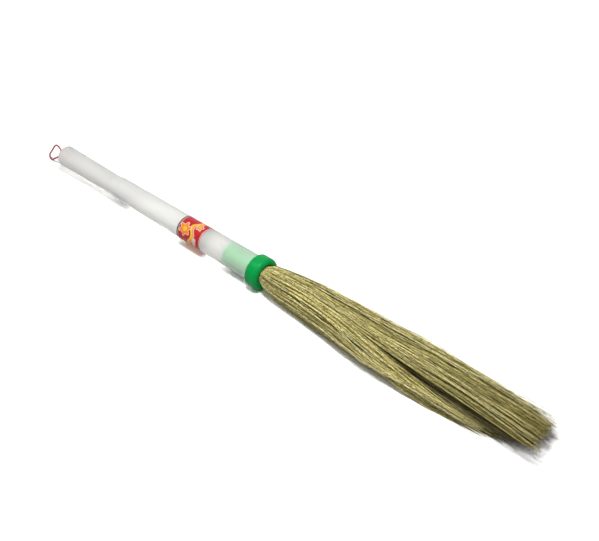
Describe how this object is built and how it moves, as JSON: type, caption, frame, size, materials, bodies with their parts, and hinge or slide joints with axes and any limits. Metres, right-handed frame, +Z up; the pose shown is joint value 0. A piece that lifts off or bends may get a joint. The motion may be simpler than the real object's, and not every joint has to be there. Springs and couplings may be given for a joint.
{
  "type": "hand broom",
  "caption": "Short hand broom: a flared bundle of leaf ribs in a two-length frosted plastic handle, with a collar, a sticker and a hanging loop.",
  "frame": {"origin": "on the floor, under the middle of the broom's length without its hanging loop", "axes": "+X along the handle from the closed end of the grip to the tips of the ribs, +Z up from the floor the broom lies on"},
  "size_m": [0.8038, 0.0763, 0.0401],
  "materials": {
    "grip_plastic": "frosted translucent",
    "tube_plastic": "frosted translucent",
    "sticker": "printed gloss",
    "collar_plastic": "glossy",
    "wire": "plain",
    "cord": "twisted",
    "leaf_ribs": "dry natural fibre"
  },
  "bodies": {
    "root": {"handle_grip": "grip_plastic", "handle_tube": "tube_plastic", "label": "sticker", "collar": "collar_plastic", "binding_wire": "wire", "hang_cord": "cord", "cord_knot": "cord", "bristle_heart": "leaf_ribs", "bristle_lock_1": "leaf_ribs", "bristle_lock_2": "leaf_ribs", "bristle_lock_3": "leaf_ribs", "bristle_lock_4": "leaf_ribs", "bristle_lock_5": "leaf_ribs", "bristle_lock_6": "leaf_ribs"}
  },
  "joints": []
}
